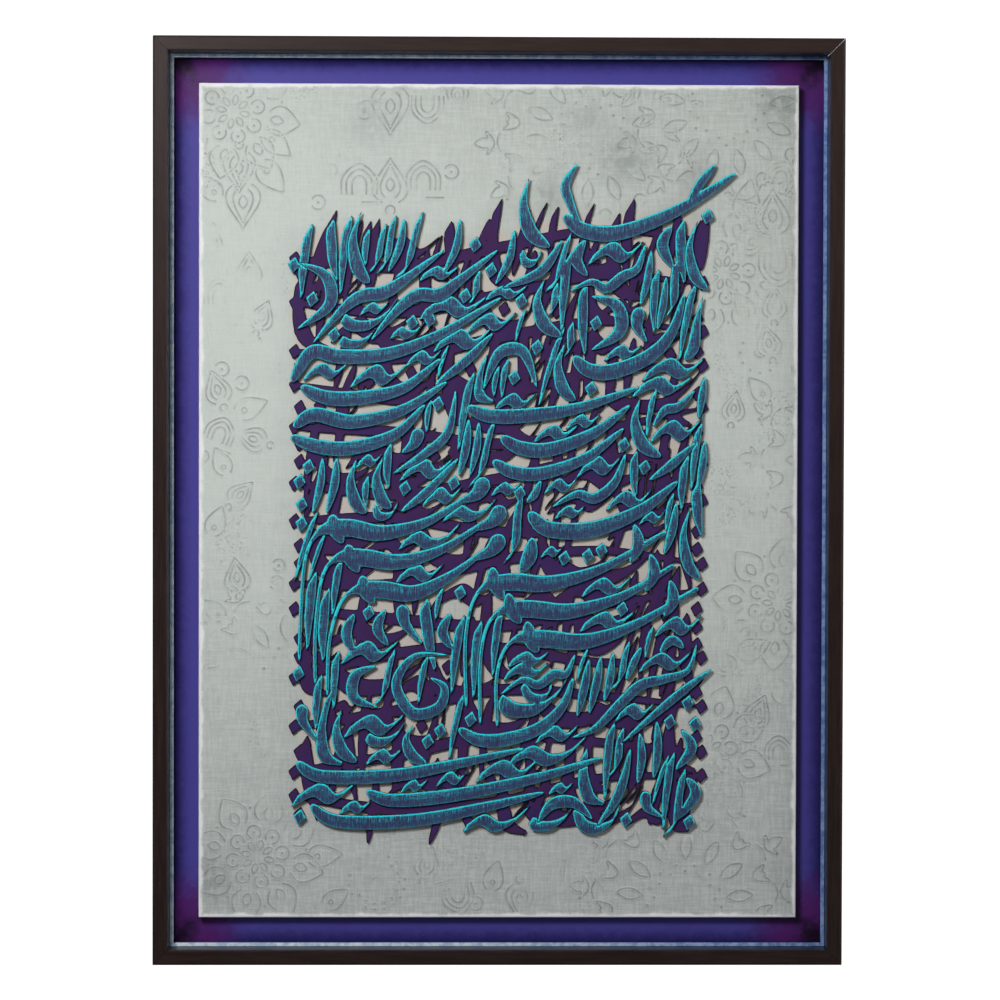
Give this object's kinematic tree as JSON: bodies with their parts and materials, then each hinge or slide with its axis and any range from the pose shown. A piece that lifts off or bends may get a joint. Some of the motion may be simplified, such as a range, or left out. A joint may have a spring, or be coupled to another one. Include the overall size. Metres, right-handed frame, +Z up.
{
  "type": "framed relief wall panel",
  "caption": "Framed wall panel: a shallow tray holds a plastered board with two layers of thin cut strokes in relief, laid in slanting rows.",
  "frame": {"origin": "middle of the back, which lies on the wall", "axes": "+Z up, +Y into the wall, so the front looks towards -Y, and +X to the right of a person who faces it"},
  "size_m": [0.574, 0.034, 0.771],
  "materials": {
    "dark_stained_wood": "dark stained wood, satin, worn on the arrises",
    "violet_lacquer": "violet-blue lacquer on wood, with a light blue rim",
    "plaster": "matt pale grey-green plaster on a wooden board",
    "purple_paint": "flat dark purple paint on thin wood sheet",
    "turquoise_paint": "dark blue-purple paint dry-brushed with turquoise on thin wood sheet"
  },
  "bodies": {
    "root": {"frame_rail_top": "dark_stained_wood", "frame_rail_right": "dark_stained_wood", "frame_rail_bottom": "dark_stained_wood", "frame_rail_left": "dark_stained_wood", "tray": "violet_lacquer", "panel_board": "plaster", "lower_fretwork": "purple_paint", "top_sweep": "turquoise_paint", "top_flame": "turquoise_paint", "sweep_a": "turquoise_paint", "sweep_b": "turquoise_paint", "sweep_c": "turquoise_paint", "sweep_d": "turquoise_paint", "sweep_e": "turquoise_paint", "sweep_f": "turquoise_paint", "sweep_g": "turquoise_paint", "sweep_h": "turquoise_paint", "sweep_i": "turquoise_paint", "arch_a": "turquoise_paint", "arch_b": "turquoise_paint", "arch_c": "turquoise_paint", "arch_d": "turquoise_paint", "arch_e": "turquoise_paint", "arch_f": "turquoise_paint", "low_band_a": "turquoise_paint", "low_band_b": "turquoise_paint", "low_band_c": "turquoise_paint", "low_sweep": "turquoise_paint", "low_moon": "turquoise_paint", "low_blade": "turquoise_paint", "low_diagonal": "turquoise_paint", "low_wave": "turquoise_paint", "volute": "turquoise_paint", "corner_moon": "turquoise_paint", "wave_a": "turquoise_paint", "wave_b": "turquoise_paint", "wave_c": "turquoise_paint", "wave_d": "turquoise_paint", "wave_e": "turquoise_paint", "wave_f": "turquoise_paint", "wave_g": "turquoise_paint", "flame_a": "turquoise_paint", "flame_b": "turquoise_paint", "flame_c": "turquoise_paint", "flame_d": "turquoise_paint", "flame_e": "turquoise_paint", "flame_f": "turquoise_paint", "flame_g": "turquoise_paint", "flame_h": "turquoise_paint", "flame_i": "turquoise_paint", "flame_j": "turquoise_paint", "flame_k": "turquoise_paint", "moon_a": "turquoise_paint", "moon_b": "turquoise_paint", "moon_c": "turquoise_paint", "slant_a": "turquoise_paint", "slant_b": "turquoise_paint", "slant_c": "turquoise_paint", "slant_d": "turquoise_paint"}
  },
  "joints": []
}
